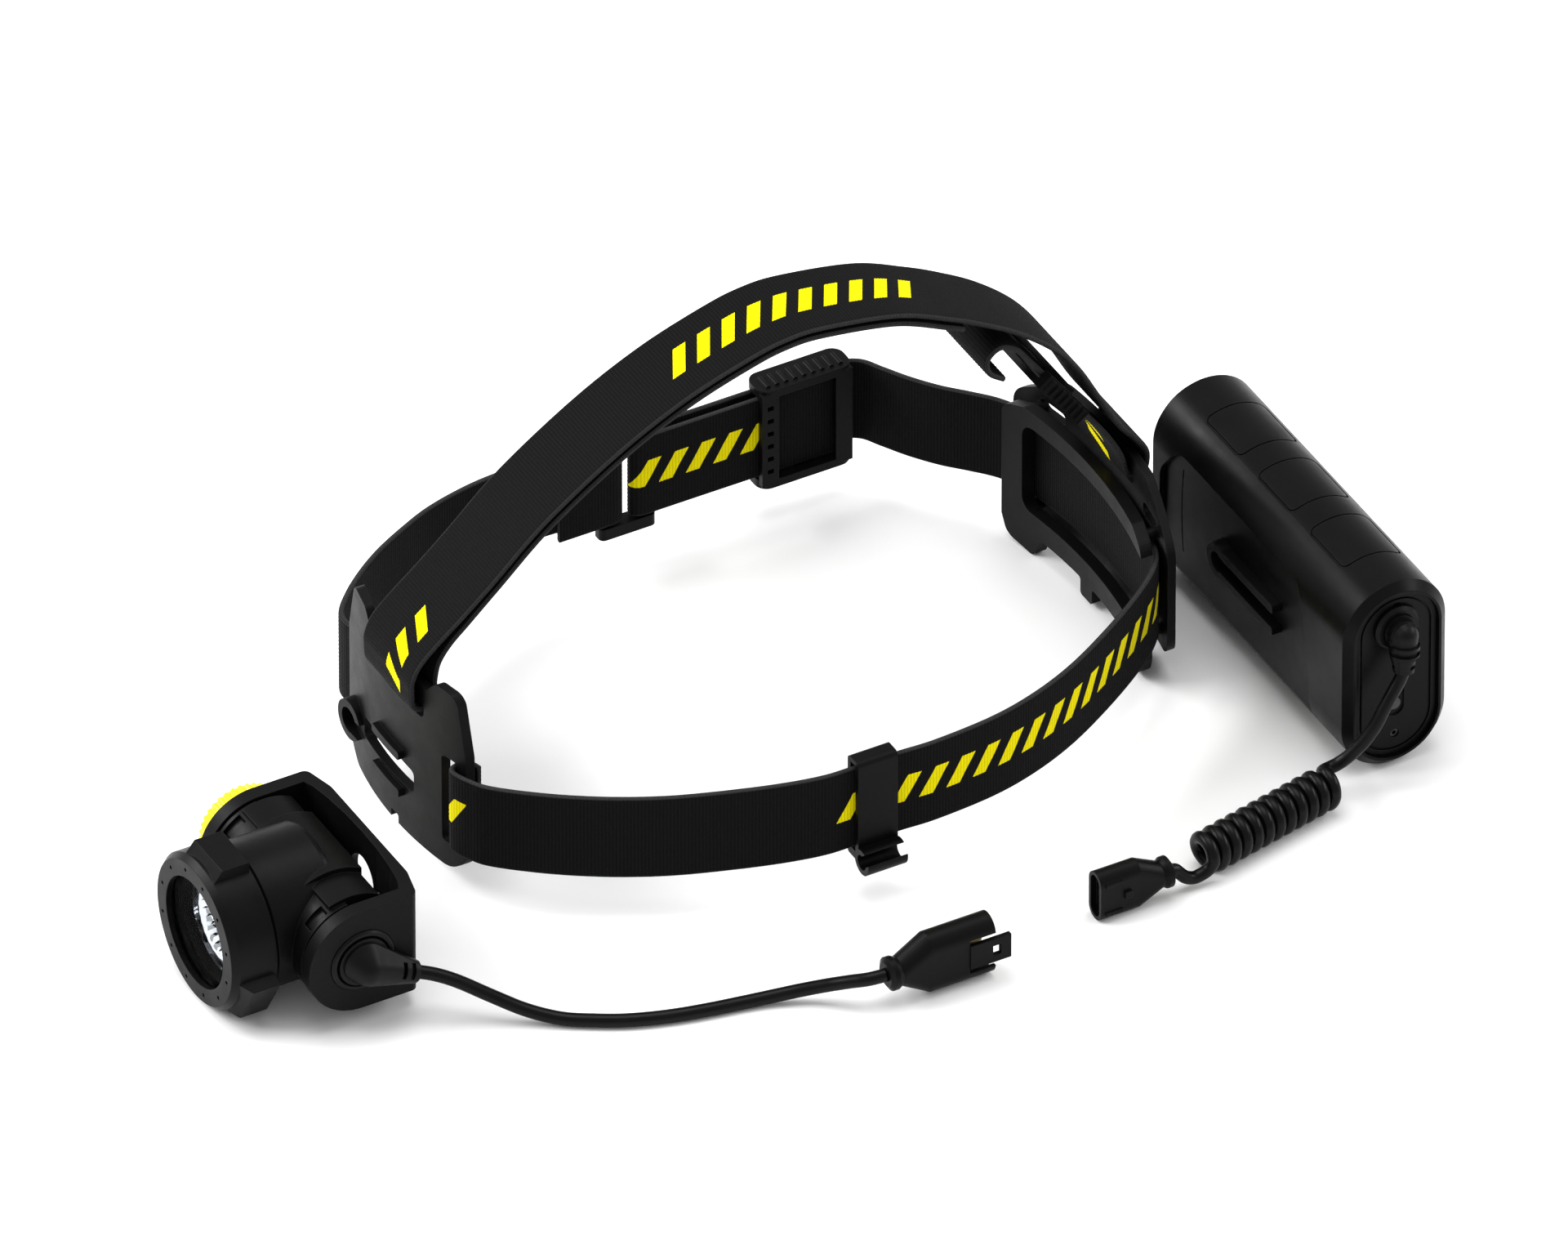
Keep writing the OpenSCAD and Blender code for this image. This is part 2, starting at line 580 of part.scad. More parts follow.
module lens_carrier() {
  color("#2a2a2c") translate(lamp_at + [0, 0, optic_z]) difference() {
    yturn([[14.3, -24], [15.3, -24], [15.3, -10], [13, -8.6], [5.2, -8.6], [5.2, -9.9], [12.6, -9.9],
      [14.3, -13]]);
    for (a = [0, 120, 240]) rotate([0, a, 0]) block([15, -25, -1], [16, -8, 1]);
  }
}

module focus_lens() {
  color("#e9f0f580") translate(lamp_at + [0, 0, optic_z])
    yturn([[0, -23], [13.6, -23], [14.2, -22.6], [14.2, -21.2], [13.4, -21], [12, -17], [9.4, -13],
      [5.8, -10.1], [3, -10.1], [3, -13.4], [0, -14.4]]);
}

// --- Dimmer knob and power button ---------------------------------------------------------------
knob_in = -29.4;
knob_out = -36.4;
well = 4.4;             // depth of the button's well in the knob
button_h = 1.6;         // the button's skirt inside the well
button_travel = 1;
module dimmer_knob() {
  teeth = 36;
  rim = [for (i = [0:4 * teeth - 1]) let (a = 90 * i / teeth, r = knob_r - (i % 4 < 2 ? 0 : 0.55))
    r * [cos(a), sin(a)]];
  color(yellow) translate(lamp_at) difference() {
    union() {
      translate([knob_out + 1.4, 0, 0]) rotate([0, 90, 0])
        linear_extrude(knob_in - knob_out - 1.4) polygon(rim);
      translate([knob_out, 0, 0]) rotate([0, 90, 0])
        cylinder(r1 = knob_r - 2, r2 = knob_r - 0.6, h = 1.4);
    }
    xcyl(7.2, knob_out - 1, knob_out + well);
    xcyl(3.2, knob_out, knob_in + 1);
  }
}

module knob_shaft() {
  color(steel) translate(lamp_at) xcyl(3.2, knob_out + well, -17.4);
}

module power_button() {
  color("#2b2b2e") translate(lamp_at) {
    xcyl(6.9, knob_out - 0.6, knob_out + button_h);
    xcyl(2.2, knob_out + button_h, knob_out + well - button_travel - 0.2);
  }
}

// The spring at its pressed length, as two turns on the well's floor.
module button_spring() {
  wire_r = 0.3;
  first = knob_out + button_h + button_travel + wire_r + 0.15;
  last = knob_out + well - wire_r - 0.1;
  color(steel) translate(lamp_at) for (x = [first, last])
    translate([x, 0, 0]) rotate([0, 90, 0]) rotate_extrude() translate([4.2, 0]) circle(r = wire_r, $fn = 16);
}

// --- Lamp cord ----------------------------------------------------------------------------------
elbow_out = bracket_w / 2 - 1.2;
module lamp_elbow() {
  c = [bracket_w / 2 + 2.4, 0.6, -1.4];
  tip = lamp_cord_route[0] - lamp_at;
  foot = bracket_w / 2 + 0.85;
  color("#151517") translate(lamp_at) difference() {
    union() {
      xcyl(6.9, elbow_out + 0.1, foot + 0.2);
      // what stands out past the gland ring
      intersection() {
        hull() {
          xcyl(5.8, foot, foot + 0.8);
          translate(c) sphere(r = 4.6);
          translate(tip) aim(c - tip) cylinder(r = 3, h = 4);
        }
        block([foot, -10, -15], [foot + 12, 20, 10]);
      }
    }
    // bending slots near the cord's end
    for (d = [2.4, 5.2]) translate(tip) aim(c - tip) rotate([0, 0, 120]) translate([0, 0, d]) for (s = [-1, 1])
      translate([s > 0 ? 2.1 : -6.1, -2.1, -0.65]) cube([4, 4.2, 1.3]);
  }
}

module lamp_cord() {
  color("#101012") tube(smooth(lamp_cord_route, 1), lamp_cord_d, [0, 0, 1]);
}

plug_h = 17.6;
plug_w = 8.4;
plug_end = 29.4;        // mouth of the lamp's plug
sock_h = 14.4;          // what the battery's plug is over its nose
sock_w = 6.4;
plug_play = 0.1;
contact_z = [-3.9, -1.3, 1.3, 3.9];
pin_r = 0.6;
socket_floor = 21.4;
tongue_half = 3.6;
module lamp_plug() {
  r = plug_w / 2;
  mouth_r = sock_w / 2 + plug_play;
  mouth_z = (sock_h - sock_w) / 2;
  color("#131315") translate(lamp_plug_at) difference() {
    union() {
      hull() {
        ycyl(3.9, 3.4, 4);
        for (s = [-1, 1]) translate([0, 11.4, s * (plug_h / 2 - r)]) ycyl(r, 0, 0.4, $fn = 32);
      }
      for (s = [-1, 1]) translate([0, 0, s * (plug_h / 2 - r)]) ycyl(r, 11.6, plug_end);
      block([-r, 11.6, r - plug_h / 2], [r, plug_end, plug_h / 2 - r]);
      // latch tongue on the outer side
      block([mouth_r - 0.5, 22, -tongue_half], [r + 0.4, plug_end + 4.2, tongue_half]);
    }
    // socket
    for (s = [-1, 1]) translate([0, 0, s * mouth_z]) ycyl(mouth_r, socket_floor, plug_end + 5);
    block([-mouth_r, socket_floor, -mouth_z], [mouth_r, plug_end + 5, mouth_z]);
    // slots that free the tongue and take the other plug's ribs, and the tongue's window
    for (z = [-tongue_half - 1.5, tongue_half]) block([r - 2.2, 22, z], [r + 1, plug_end + 1, z + 1.5]);
    block([r - 2, plug_end - 1, -1.5], [r + 1, plug_end + 1.3, 1.5]);
    // seats of the pins
    for (z = contact_z) translate([0, 0, z]) ycyl(pin_r, 18, socket_floor + 1, $fn = 24);
  }
}

module lamp_plug_collar() {
  color("#131315") translate(lamp_plug_at)
    yturn([[0, 0], [3.2, 0], [4.5, 0.8], [4.5, 2.2], [3.9, 3.4], [0, 3.4]]);
}

module lamp_plug_pins() {
  color("#c9a94a") translate(lamp_plug_at) for (z = contact_z)
    translate([0, 0, z]) ycyl(pin_r, 18, plug_end - 2.4, $fn = 24);
}

// --- Battery pack -------------------------------------------------------------------------------
pack_x = pack_l / 2;
pack_r = pack_t / 2;
chamfer = 2.2;
cap_out = pack_x - 1.2;
gland_z = 43.6;         // the cord's entry in the end cap
light_z = 18.7;
cap_in = pack_x - 5;
panel_depth = 1.1;
module battery_case() {
  z1 = pack_h - pack_r;
  groove_w = 0.5;
  groove_deep = 0.4;
  arc_r = 96;
  color(black) translate(pack_at) difference() {
    union() {
      stadium(pack_r, 0, pack_h, -pack_x + chamfer, pack_x - chamfer);
      for (s = [-1, 1]) mirror([s > 0 ? 0 : 1, 0, 0]) {
        for (z = [pack_r, z1]) translate([pack_x - chamfer, 0, z]) rotate([0, 90, 0])
          cylinder(r1 = pack_r, r2 = pack_r - chamfer, h = chamfer);
        translate([0, 0, pack_r]) linear_extrude(z1 - pack_r)
          polygon([[pack_x - chamfer, -pack_r], [pack_x, chamfer - pack_r], [pack_x, pack_r - chamfer],
            [pack_x - chamfer, pack_r]]);
      }
    }
    stadium(pack_r - pack_wall, pack_wall, pack_h - pack_wall, -pack_x + pack_wall, pack_x - 4);
    stadium(pack_r - 2.9, 2.9, pack_h - 2.9, pack_x - 5, pack_x + 1);
    // shallow panel on the side that faces the belt
    yplate(rounded([[-45, -5, 1], [32, -5, 1], [32, 20, 8], [26, 46.4, 6], [-37, 46.4, 9], [-45, 36, 8]]),
      -pack_r - 1, panel_depth - pack_r);
    // bowed groove in the panel
    translate([arc_r - 35.6, 0, 29]) difference() {
      ycyl(arc_r, -pack_r - 1, panel_depth + groove_deep - pack_r);
      ycyl(arc_r - groove_w, -pack_r - 2, pack_r);
      block([6 - arc_r, -pack_r - 3, -arc_r - 1], [arc_r + 1, pack_r, arc_r + 1]);
      for (z = [13, -arc_r - 13]) block([-arc_r - 1, -pack_r - 3, z], [arc_r, pack_r, z + arc_r]);
    }
    // three rectangles drawn over the rounded top
    intersection() {
      difference() {
        stadium(pack_r + 1, -1, pack_h + 1, -pack_x, pack_x);
        stadium(pack_r - groove_deep, groove_deep, pack_h - groove_deep, -pack_x - 1, pack_x + 1);
      }
      for (x = [-26.4, 0.2, 26.8]) translate([x, 1.2, z1]) linear_extrude(pack_r + 2) difference() {
        polygon(box_outline(-9.2, -8.7, 9.2, 8.7, 2));
        polygon(box_outline(groove_w - 9.2, groove_w - 8.7, 9.2 - groove_w, 8.7 - groove_w, 1.5));
      }
    }
  }
}

module battery_end_cap() {
  r = pack_r - 3;
  color("#161618") translate(pack_at) difference() {
    union() {
      stadium(r, pack_r - r, pack_h - pack_r + r, cap_in, cap_out);
      stadium(r - 1.4, pack_r - r + 1.4, pack_h - pack_r + r - 1.4, cap_in - 2, cap_in);
    }
    // decorative groove round the cap
    difference() {
      stadium(r - 1.6, pack_r - r + 1.6, pack_h - pack_r + r - 1.6, cap_out - 0.6, cap_out + 1);
      stadium(r - 2.2, pack_r - r + 2.2, pack_h - pack_r + r - 2.2, cap_out - 1, cap_out + 2);
    }
    // capsule-shaped recess round the status light
    stadium(2.6, light_z - 3.6, light_z + 6.8, cap_out - 0.5, cap_out + 1);
    translate([0, 0, gland_z]) xcyl(4, cap_in - 3, cap_out + 1);
    translate([0, 0, light_z]) xcyl(1.75, cap_in - 3, cap_out + 1);
    for (z = [9.4, pack_h - 7.2]) translate([0, 0, z]) xcyl(1.25, cap_in - 3, cap_out + 1);
  }
}

module end_cap_seal() {
  r = pack_r - 3.1;
  color("#202020") translate(pack_at) difference() {
    stadium(r, pack_r - r, pack_h - pack_r + r, cap_in - 1.6, cap_in - 0.1);
    stadium(r - 1.2, pack_r - r + 1.2, pack_h - pack_r + r - 1.2, cap_in - 3, cap_in + 1);
  }
}

module end_cap_screws() {
  color(steel) translate(pack_at) for (z = [9.4, pack_h - 7.2]) translate([0, 0, z]) difference() {
    xcyl(1.2, cap_in - 1.9, cap_out - 0.4);
    xcyl(0.6, cap_out - 1.4, cap_out + 1);
  }
}

// Keyhole-shaped rail for a belt holder.
module belt_rail() {
  y0 = -pack_r - 1.8;
  y1 = panel_depth - pack_r;
  color(black) translate(pack_at + [-12.6, 0, 28.5]) difference() {
    union() {
      ycyl(5.2, y0, y1);
      for (z = [-4.7, 2.3]) yplate(box_outline(2, z, 28.6, z + 2.4, 0.6), y0, y1);
    }
    ycyl(2.8, y0 - 1, y1 + 1);
    block([0, y0 - 1, -2.3], [9, y1 + 1, 2.3]);
  }
}

module status_light() {
  color("#3a3b3d") translate(pack_at + [0, 0, light_z]) xcyl(1.7, cap_in - 1, cap_out - 0.1);
}

cell_r = 10.6;
cell_l = 70.2;
cell_x = 3 - pack_x;
module cell(z) translate(pack_at + [0, 0, z]) rotate([0, 90, 0]) translate([0, 0, cell_x]) rotate_extrude()
  polygon([[0, 0], [cell_r - 0.6, 0], [cell_r, 0.6], [cell_r, cell_l - 0.6], [cell_r - 0.6, cell_l],
    [3.4, cell_l], [3.4, cell_l + 0.9], [0, cell_l + 0.9]]);
module cell_lower() color("#3f7fbf") cell(pack_h / 2 - 11.6);
module cell_upper() color("#3f7fbf") cell(pack_h / 2 + 11.6);

module cell_spacer() {
  color("#d8d8d2") translate(pack_at) difference() {
    block([-30, -9, pack_h / 2 - 6], [10, 9, pack_h / 2 + 6]);
    for (s = [-1, 1]) translate([0, 0, pack_h / 2 + s * 11.6]) xcyl(cell_r + 0.1, -31, 11);
  }
}

module charge_board() {
  color("#1f5c34") translate(pack_at) {
    block([27, -9.5, 10], [28.4, 9.5, pack_h - 10]);
    block([28.4, -4, 14], [31, 4, 20]);
    block([28.4, -5, 30], [30, 5, 36]);
    block([28.4, -3, 38.6], [32, 3, 42.6]);
  }
}

module contact_strips() {
  color("#c9ccd1") translate(pack_at) {
    block([24.4, -3, 11], [24.7, 3, 23]);
    block([24.4, -3, pack_h - 23], [24.7, 3, pack_h - 11]);
    block([cell_x - 0.5, -3, 12], [cell_x - 0.1, 3, pack_h - 12]);
  }
}

// --- Battery cord -------------------------------------------------------------------------------
module pack_gland() {
  color("#101012") translate(pack_at + [0, 0, gland_z]) rotate([0, 90, 0]) translate([0, 0, cap_out + 0.05])
    rotate_extrude() polygon([[4.5, 0], [6.4, 0], [6.4, 0.9], [5.6, 1.6], [4.5, 1.6]]);
}

module pack_elbow() {
  c = [cap_out + 4.4, 0.3, gland_z - 0.2];
  tip = pack_lead_route[0] - pack_at;
  color("#151517") translate(pack_at) difference() {
    union() {
      translate([0, 0, gland_z]) xcyl(3.9, cap_in - 1, c[0]);
      translate([0, 0, gland_z]) xcyl(4.4, cap_out + 0.1, cap_out + 2.4);
      // what stands out past the gland
      intersection() {
        union() {
          hull() {
            translate([0, 0, gland_z]) xcyl(3.9, cap_out + 1.8, cap_out + 3);
            translate(c) sphere(r = 3.4);
            translate(tip) aim(c - tip) cylinder(r = 2.7, h = 1);
          }
          // two ridges
          for (d = [2.6, 5]) translate(c) aim(tip - c) translate([0, 0, d]) cylinder(r = 3.9, h = 1);
        }
        block([cap_out + 1.75, -8, gland_z - 20], [cap_out + 14, 8, gland_z + 8]);
      }
    }
    for (d = [1.8, 4.2]) translate(tip) aim(c - tip) translate([0, 0, d]) for (s = [-1, 1])
      translate([-2, s > 0 ? 1.9 : -5.9, -0.55]) cube([4, 4, 1.1]);
  }
}

module pack_lead() {
  color("#101012") tube(smooth(pack_lead_route, 1), pack_cord_d, [1, 0, 0]);
}

module curly_cord() {
  color("#101012") translate(coil_from) aim(coil_to - coil_from)
    cylinder(d = coil_d, h = norm(coil_to - coil_from), $fn = 48);
}

module curly_tail() {
  color("#101012") tube(smooth(tail_route, 1), pack_cord_d, [1, 0, 0]);
}

sock_tip = 21.6;
module pack_plug() {
  r = sock_w / 2;
  color("#131315") translate(pack_plug_at) mirror([0, 1, 0]) difference() {
    union() {
      hull() {
        ycyl(3.5, 3, 3.6);
        for (s = [-1, 1]) translate([0, 10, s * (sock_h / 2 - r)]) ycyl(r, 0, 0.4, $fn = 32);
      }
      for (s = [-1, 1]) translate([0, 0, s * (sock_h / 2 - r)]) ycyl(r, 10.2, sock_tip);
      block([-r, 10.2, r - sock_h / 2], [r, sock_tip, sock_h / 2 - r]);
      // latch catch and two guide ribs
      block([r - 0.2, sock_tip - 8.7, -1], [r + 0.7, sock_tip - 6.7, 1]);
      for (z = [-4.8, 3.9]) block([r - 1, sock_tip - 6.2, z], [r + 0.4, sock_tip - 1.3, z + 0.9]);
    }
    // recess in the nose, and the bores of the contacts
    for (s = [-1, 1]) translate([0, 0, s * (sock_h / 2 - r)]) ycyl(r - 1, sock_tip - 1.6, sock_tip + 1);
    block([1 - r, sock_tip - 1.6, r - sock_h / 2], [r - 1, sock_tip + 1, sock_h / 2 - r]);
    for (z = contact_z) translate([0, 0, z]) ycyl(1.05, 11, sock_tip, $fn = 24);
  }
}

module pack_plug_collar() {
  color("#131315") translate(pack_plug_at) mirror([0, 1, 0])
    yturn([[0, 0], [3, 0], [4.2, 0.7], [4.2, 2], [3.5, 3], [0, 3]]);
}

module pack_plug_sockets() {
  color("#c9a94a") translate(pack_plug_at) mirror([0, 1, 0]) for (z = contact_z)
    translate([0, 0, z]) difference() {
      ycyl(1, 11.2, sock_tip - 2, $fn = 24);
      ycyl(pin_r + 0.05, 13, sock_tip, $fn = 24);
    }
}

head_strap();
side_strap();
top_strap();
front_plate();
rear_plate();
rear_frame();
strap_ring();
size_buckle();
top_slider();
cable_clip();
lamp_bracket();
gland_ring();
bracket_screws();
head_housing();
head_rear_cover();
cover_screws();
friction_washers();
heat_sink();
led_board();
led_emitter();
driver_board();
dimmer_encoder();
housing_seal();
focus_bezel();
front_window();
window_seal();
lens_carrier();
focus_lens();
dimmer_knob();
knob_shaft();
power_button();
button_spring();
lamp_elbow();
lamp_cord();
lamp_plug();
lamp_plug_collar();
lamp_plug_pins();
battery_case();
battery_end_cap();
end_cap_seal();
end_cap_screws();
belt_rail();
status_light();
cell_lower();
cell_upper();
cell_spacer();
charge_board();
contact_strips();
pack_gland();
pack_elbow();
pack_lead();
curly_cord();
curly_tail();
pack_plug();
pack_plug_collar();
pack_plug_sockets();
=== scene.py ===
"""A headband lamp with its battery pack, both cords and the straps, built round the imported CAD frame."""
import math

import bmesh
import bpy
import numpy as np
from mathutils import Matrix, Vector


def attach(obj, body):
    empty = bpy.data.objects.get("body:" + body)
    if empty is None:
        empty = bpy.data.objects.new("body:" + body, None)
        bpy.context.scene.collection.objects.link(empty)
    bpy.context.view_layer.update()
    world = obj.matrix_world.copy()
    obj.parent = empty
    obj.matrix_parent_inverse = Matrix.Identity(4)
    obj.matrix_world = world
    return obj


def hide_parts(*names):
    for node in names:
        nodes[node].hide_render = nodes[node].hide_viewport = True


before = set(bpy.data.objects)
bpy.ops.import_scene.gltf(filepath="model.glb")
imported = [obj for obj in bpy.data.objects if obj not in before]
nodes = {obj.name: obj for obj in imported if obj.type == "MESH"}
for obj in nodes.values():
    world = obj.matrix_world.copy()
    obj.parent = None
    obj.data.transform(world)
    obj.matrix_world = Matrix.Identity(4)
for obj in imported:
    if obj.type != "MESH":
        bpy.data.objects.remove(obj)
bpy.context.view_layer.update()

# Places and sizes of the object are in mm, and MM turns them into Blender's metres.
MM = 0.001
RING = Vector((-10, 19, 0)) * MM           # middle of the head opening
LAMP = Vector((23.5, -130.5, 19.9)) * MM   # where the lamp tilts
OPTIC = LAMP + Vector((0, 0, 1)) * MM      # a point on the lens axis
STRAP_W = 25.0    # width of the webbing
STRAP_T = 1.6     # its thickness
STRAP_Z = 14.0    # lower edge of the straps round the head
INNER_V = 100.0   # how much further across the inner face is in the weave's map


# --- Camera, floor and light ----------------------------------------------------------------------
# The view, the floor and the lights are in metres.
AIM = Vector((-0.0204, 0.0306, 0.01605))
TOWARD_CAMERA = Vector((0.6939, -0.3846, 0.6088)).normalized()
CAMERA_DISTANCE = 11.02   # far off with a long lens, so the view is nearly parallel
FOCAL_LENGTH = 1000
SENSOR_WIDTH = 36
FLOOR_REACH = 8.0
WORLD_STRENGTH = 0.66


def camera():
    data = bpy.data.cameras.new("camera")
    data.lens = FOCAL_LENGTH
    data.sensor_width = SENSOR_WIDTH
    data.clip_start = 1
    data.clip_end = 40
    eye = bpy.data.objects.new("camera", data)
    bpy.context.collection.objects.link(eye)
    eye.location = AIM + TOWARD_CAMERA * CAMERA_DISTANCE
    eye.rotation_euler = TOWARD_CAMERA.to_track_quat("Z", "Y").to_euler()
    bpy.context.scene.camera = eye


def area(name, at, size, power, aim=(0, 0, 0.02)):
    """A rectangular light at a place, in metres, that points at aim."""
    data = bpy.data.lights.new(name, "AREA")
    data.shape = "RECTANGLE"
    data.size, data.size_y = size
    data.energy = power
    lamp = bpy.data.objects.new(name, data)
    bpy.context.collection.objects.link(lamp)
    lamp.location = at
    lamp.rotation_euler = (Vector(at) - Vector(aim)).to_track_quat("Z", "Y").to_euler()


camera()


# --- Materials ------------------------------------------------------------------------------------
class Look:
    """A procedural material: one Principled shader and the nodes that feed it."""

    def __init__(self, name, **uniform):
        self.material = bpy.data.materials.new(name)
        self.material.use_nodes = True
        self.tree = self.material.node_tree
        self.tree.nodes.clear()
        self.shader = self.node("ShaderNodeBsdfPrincipled")
        out = self.node("ShaderNodeOutputMaterial")
        self.tree.links.new(self.shader.outputs[0], out.inputs[0])
        for key, value in uniform.items():
            self.shader.inputs[key.replace("_", " ")].default_value = value
        self.place = self.node("ShaderNodeTexCoord").outputs["Object"]

    def node(self, kind, inputs=(), **settings):
        made = self.tree.nodes.new(kind)
        for key, value in settings.items():
            setattr(made, key, value)
        for key, value in dict(inputs).items():
            self.put(made.inputs[key], value)
        return made

    def put(self, socket, value):
        if isinstance(value, bpy.types.NodeSocket):
            self.tree.links.new(value, socket)
        else:
            socket.default_value = value

    def maths(self, operation, *values):
        return self.node("ShaderNodeMath", enumerate(values), operation=operation).outputs[0]

    def noise(self, scale, detail=2.0, rough=0.5, at=None):
        inputs = {"Vector": at or self.place, "Scale": scale, "Detail": detail, "Roughness": rough}
        return self.node("ShaderNodeTexNoise", inputs).outputs["Fac"]

    def ramp(self, value, low, high, to=(0.0, 1.0)):
        inputs = {"Value": value, "From Min": low, "From Max": high, "To Min": to[0], "To Max": to[1]}
        return self.node("ShaderNodeMapRange", inputs).outputs[0]

    def blend(self, share, a, b):
        """From colour a to colour b by share."""
        mixer = self.node("ShaderNodeMix", data_type="RGBA")
        self.put(mixer.inputs["Factor"], share)
        self.put(mixer.inputs[6], a)
        self.put(mixer.inputs[7], b)
        return mixer.outputs[2]

    def bump(self, height, depth, normal=None):
        made = self.node("ShaderNodeBump", {"Height": height, "Distance": depth, "Strength": 1.0})
        if normal is not None:
            self.put(made.inputs["Normal"], normal)
        return made.outputs[0]

    def rounded_edge(self, radius):
        return self.node("ShaderNodeBevel", {"Radius": radius}, samples=4).outputs[0]

    def finish(self, colour, roughness, normal=None):
        self.put(self.shader.inputs["Base Color"], colour)
        self.put(self.shader.inputs["Roughness"], roughness)
        if normal is not None:
            self.put(self.shader.inputs["Normal"], normal)
        return self.material


def grey(v):
    """A grey with a trace of blue."""
    return (v, v, v * 1.03, 1.0)


def shade(colour, factor):
    return tuple(c * factor for c in colour[:3]) + (1.0,)


def moulded(name, colour, wear, roughness, grain=3200.0, depth=0.02, edge=0.25, gloss_level=0.08):
    """Moulded plastic: fine grain, faint flow marks in colour and gloss, edges rubbed lighter."""
    look = Look(name, Specular_IOR_Level=gloss_level)
    soft = look.rounded_edge(edge * MM)
    flat = look.node("ShaderNodeNewGeometry").outputs["Normal"]
    turn = look.node("ShaderNodeVectorMath", {0: soft, 1: flat}, operation="DOT_PRODUCT").outputs["Value"]
    rubbed = look.maths("MULTIPLY", look.ramp(turn, 0.985, 0.86), look.ramp(look.noise(420, 4), 0.35, 0.7))
    flow = look.ramp(look.noise(55, 3, 0.6), 0.3, 0.75)
    base = look.blend(flow, colour, shade(colour, 1.35))
    gloss = look.ramp(look.noise(140, 4, 0.6), 0.25, 0.8, (roughness - 0.05, roughness + 0.07))
    finer = look.maths("MULTIPLY", look.noise(grain * 3.1, 2), 0.5)
    height = look.maths("ADD", look.noise(grain, 3, 0.6), finer)
    return look.finish(look.blend(rubbed, base, wear), gloss, look.bump(height, depth * MM, soft))


def rubber(name, value, roughness):
    """Soft black rubber or PVC with a dull bloom in patches."""
    look = Look(name, Specular_IOR_Level=0.12)
    dust = look.ramp(look.noise(180, 5, 0.65), 0.45, 0.85)
    gloss = look.ramp(look.noise(260, 3), 0.2, 0.8, (roughness - 0.08, roughness + 0.08))
    height = look.maths("ADD", look.noise(1800, 3), look.maths("MULTIPLY", look.noise(6000, 2), 0.4))
    normal = look.bump(height, 0.012 * MM, look.rounded_edge(0.2 * MM))
    return look.finish(look.blend(dust, grey(value), grey(value * 1.7)), gloss, normal)


def metal(name, colour, roughness):
    """Turned or rolled metal: fine lines one way and slow changes of gloss."""
    look = Look(name, Metallic=1.0)
    brushed = {0: look.place, 1: (60, 60, 2600)}
    stretched = look.node("ShaderNodeVectorMath", brushed, operation="MULTIPLY").outputs[0]
    lines = look.noise(1.0, 3, 0.6, at=stretched)
    tone = look.blend(look.noise(300, 3), colour, shade(colour, 0.82))
    gloss = look.ramp(lines, 0.3, 0.7, (roughness - 0.06, roughness + 0.1))
    return look.finish(tone, gloss, look.bump(lines, 0.006 * MM, look.rounded_edge(0.1 * MM)))


def clear(name, tint, roughness, ior, metallic=0.0):
    """Clear plastic with the faintest handling haze. With some metallic it is part mirror, as a lens looks."""
    look = Look(name, Transmission_Weight=1.0, IOR=ior, Metallic=metallic)
    haze = look.ramp(look.noise(160, 5, 0.7), 0.45, 0.8, (roughness, roughness + 0.05))
    tone = look.blend(look.noise(90, 2), tint, shade(tint, 0.985))
    return look.finish(tone, haze, look.bump(look.noise(500, 2), 0.002 * MM))


def circuit_board(name):
    """Green solder mask with copper tracks under it."""
    look = Look(name, Coat_Weight=0.4, Coat_Roughness=0.2)
    cells = look.node("ShaderNodeTexVoronoi", {"Vector": look.place, "Scale": 420.0},
                      distance="MANHATTAN", feature="DISTANCE_TO_EDGE").outputs["Distance"]
    track = look.ramp(cells, 0.04, 0.07)
    tone = look.blend(track, (0.03, 0.16, 0.06, 1), (0.012, 0.075, 0.03, 1))
    gloss = look.ramp(look.noise(300), 0.3, 0.7, (0.35, 0.5))
    return look.finish(tone, gloss, look.bump(track, 0.03 * MM))


def wrap(name, colour):
    """Shrink wrap of a cell, with its seam creases, and painted shade that darkens the colour along them."""
    look = Look(name, Coat_Weight=0.3, Coat_Roughness=0.15)
    crease_relief_and_shade = look.noise(220, 5, 0.7)
    # painted shade: the colour is darker along the creases
    tone = look.blend(look.ramp(crease_relief_and_shade, 0.4, 0.7), colour, shade(colour, 0.7))
    return look.finish(tone, look.ramp(crease_relief_and_shade, 0.3, 0.7, (0.25, 0.4)), look.bump(crease_relief_and_shade, 0.05 * MM))


WARP_PITCH = 0.62          # between two waves of the cords along the band, in mm
WEFT_PITCH = 0.9           # between two waves of the picks across it
SELVEDGE = (0.55, 0.3)     # from the band's edge: where the lighter edge yarn begins, and is whole


